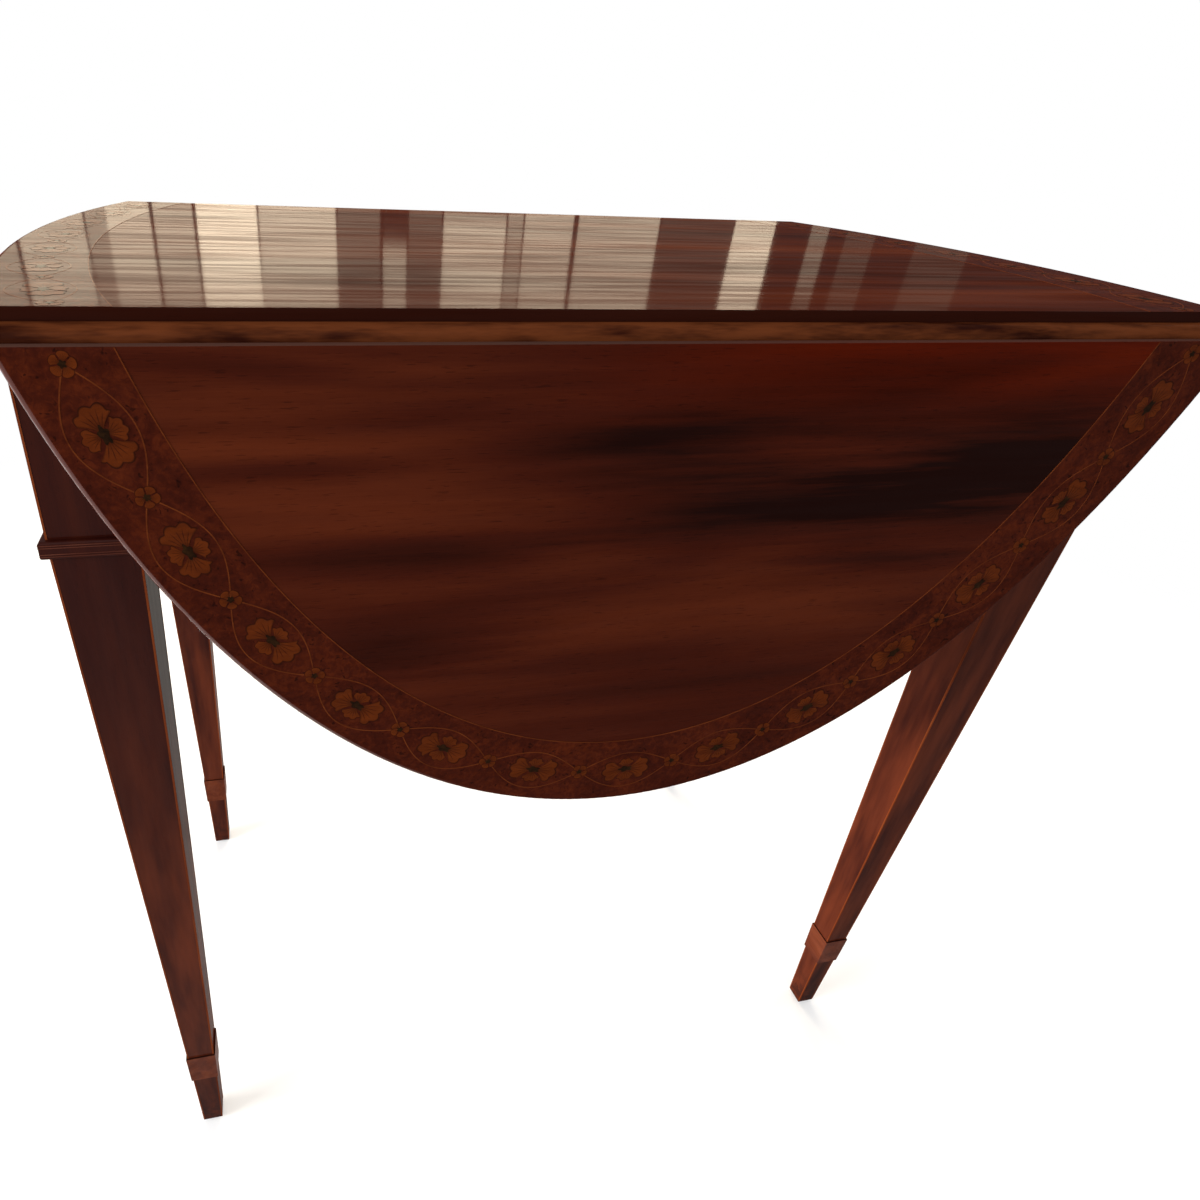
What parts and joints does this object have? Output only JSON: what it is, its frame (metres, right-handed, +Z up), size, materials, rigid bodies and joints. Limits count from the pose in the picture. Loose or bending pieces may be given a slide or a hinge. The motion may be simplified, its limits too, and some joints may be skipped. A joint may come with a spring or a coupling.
{
  "type": "pembroke table",
  "caption": "Oval Pembroke table with rule-jointed drop leaves, wooden fly brackets, an end drawer with a sham drawer opposite, and square tapered legs with banded feet.",
  "frame": {"origin": "on the floor, at the middle of the box round the table with its leaves down", "axes": "+X along the hinge lines towards the drawer end, +Y towards the far leaf, +Z up"},
  "size_m": [0.7082, 0.449, 0.72],
  "materials": {
    "mahogany": "French polished",
    "burr_veneer": "French polished",
    "satinwood": "French polished",
    "boxwood": "French polished",
    "beech": "plain, aged",
    "pine": "plain, aged",
    "oak": "plain, aged",
    "brass": "polished",
    "iron": "aged",
    "steel": "aged"
  },
  "bodies": {
    "frame": {"top_panel": "mahogany", "end_apron": "mahogany", "end_apron_cockbead": "mahogany", "drawer_rail_upper": "mahogany", "drawer_rail_lower": "mahogany", "leg_near_left": "mahogany", "knee_collar_near_left": "mahogany", "ankle_band_near_left": "satinwood", "leg_near_right": "mahogany", "knee_collar_near_right": "mahogany", "ankle_band_near_right": "satinwood", "leg_far_left": "mahogany", "knee_collar_far_left": "mahogany", "ankle_band_far_left": "satinwood", "leg_far_right": "mahogany", "knee_collar_far_right": "mahogany", "ankle_band_far_right": "satinwood", "fly_block_near": "beech", "side_rail_near": "pine", "drawer_runner_near": "pine", "kicker_near": "pine", "fly_pins_near": "steel", "hinge_pins_near": "steel", "hinge_plate_screws_near": "steel", "hinge_plates_near": "iron", "fly_block_far": "beech", "side_rail_far": "pine", "drawer_runner_far": "pine", "kicker_far": "pine", "fly_pins_far": "steel", "hinge_pins_far": "steel", "hinge_plate_screws_far": "steel", "hinge_plates_far": "iron", "drawer_stops": "oak", "top_screws": "steel", "fly_block_screws": "steel", "end_apron_knobs": "brass"},
    "leaf_near": {"leaf_near": "mahogany", "hinge_flaps_near": "iron", "hinge_flap_screws_near": "steel"},
    "leaf_far": {"leaf_far": "mahogany", "hinge_flaps_far": "iron", "hinge_flap_screws_far": "steel"},
    "drawer": {"drawer_front": "mahogany", "drawer_cockbead": "mahogany", "drawer_knobs": "brass", "drawer_side_near": "oak", "drawer_side_far": "oak", "drawer_back": "oak", "drawer_bottom": "oak"},
    "fly_near_left": {"fly_bracket_near_left": "beech"},
    "fly_near_right": {"fly_bracket_near_right": "beech"},
    "fly_far_left": {"fly_bracket_far_left": "beech"},
    "fly_far_right": {"fly_bracket_far_right": "beech"}
  },
  "joints": [
    {"name": "leaf_near_hinge", "type": "hinge", "parent": "frame", "child": "leaf_near", "pos_m": [0, -0.212, 0.7075], "axis": [-1, 0, 0], "range_deg": [0, 90]},
    {"name": "leaf_far_hinge", "type": "hinge", "parent": "frame", "child": "leaf_far", "pos_m": [0, 0.212, 0.7075], "axis": [1, 0, 0], "range_deg": [0, 90]},
    {"name": "drawer_slide", "type": "slide", "parent": "frame", "child": "drawer", "axis": [1, 0, 0], "range_m": [0, 0.3]},
    {"name": "fly_near_left_pivot", "type": "hinge", "parent": "frame", "child": "fly_near_left", "pos_m": [-0.075, -0.1732, 0.6537], "axis": [0, 0, 1], "range_deg": [0, 7]},
    {"name": "fly_near_right_pivot", "type": "hinge", "parent": "frame", "child": "fly_near_right", "pos_m": [0.075, -0.1732, 0.6537], "axis": [0, 0, -1], "range_deg": [0, 7]},
    {"name": "fly_far_left_pivot", "type": "hinge", "parent": "frame", "child": "fly_far_left", "pos_m": [-0.075, 0.1732, 0.6537], "axis": [0, 0, -1], "range_deg": [0, 7]},
    {"name": "fly_far_right_pivot", "type": "hinge", "parent": "frame", "child": "fly_far_right", "pos_m": [0.075, 0.1732, 0.6537], "axis": [0, 0, 1], "range_deg": [0, 7]}
  ]
}
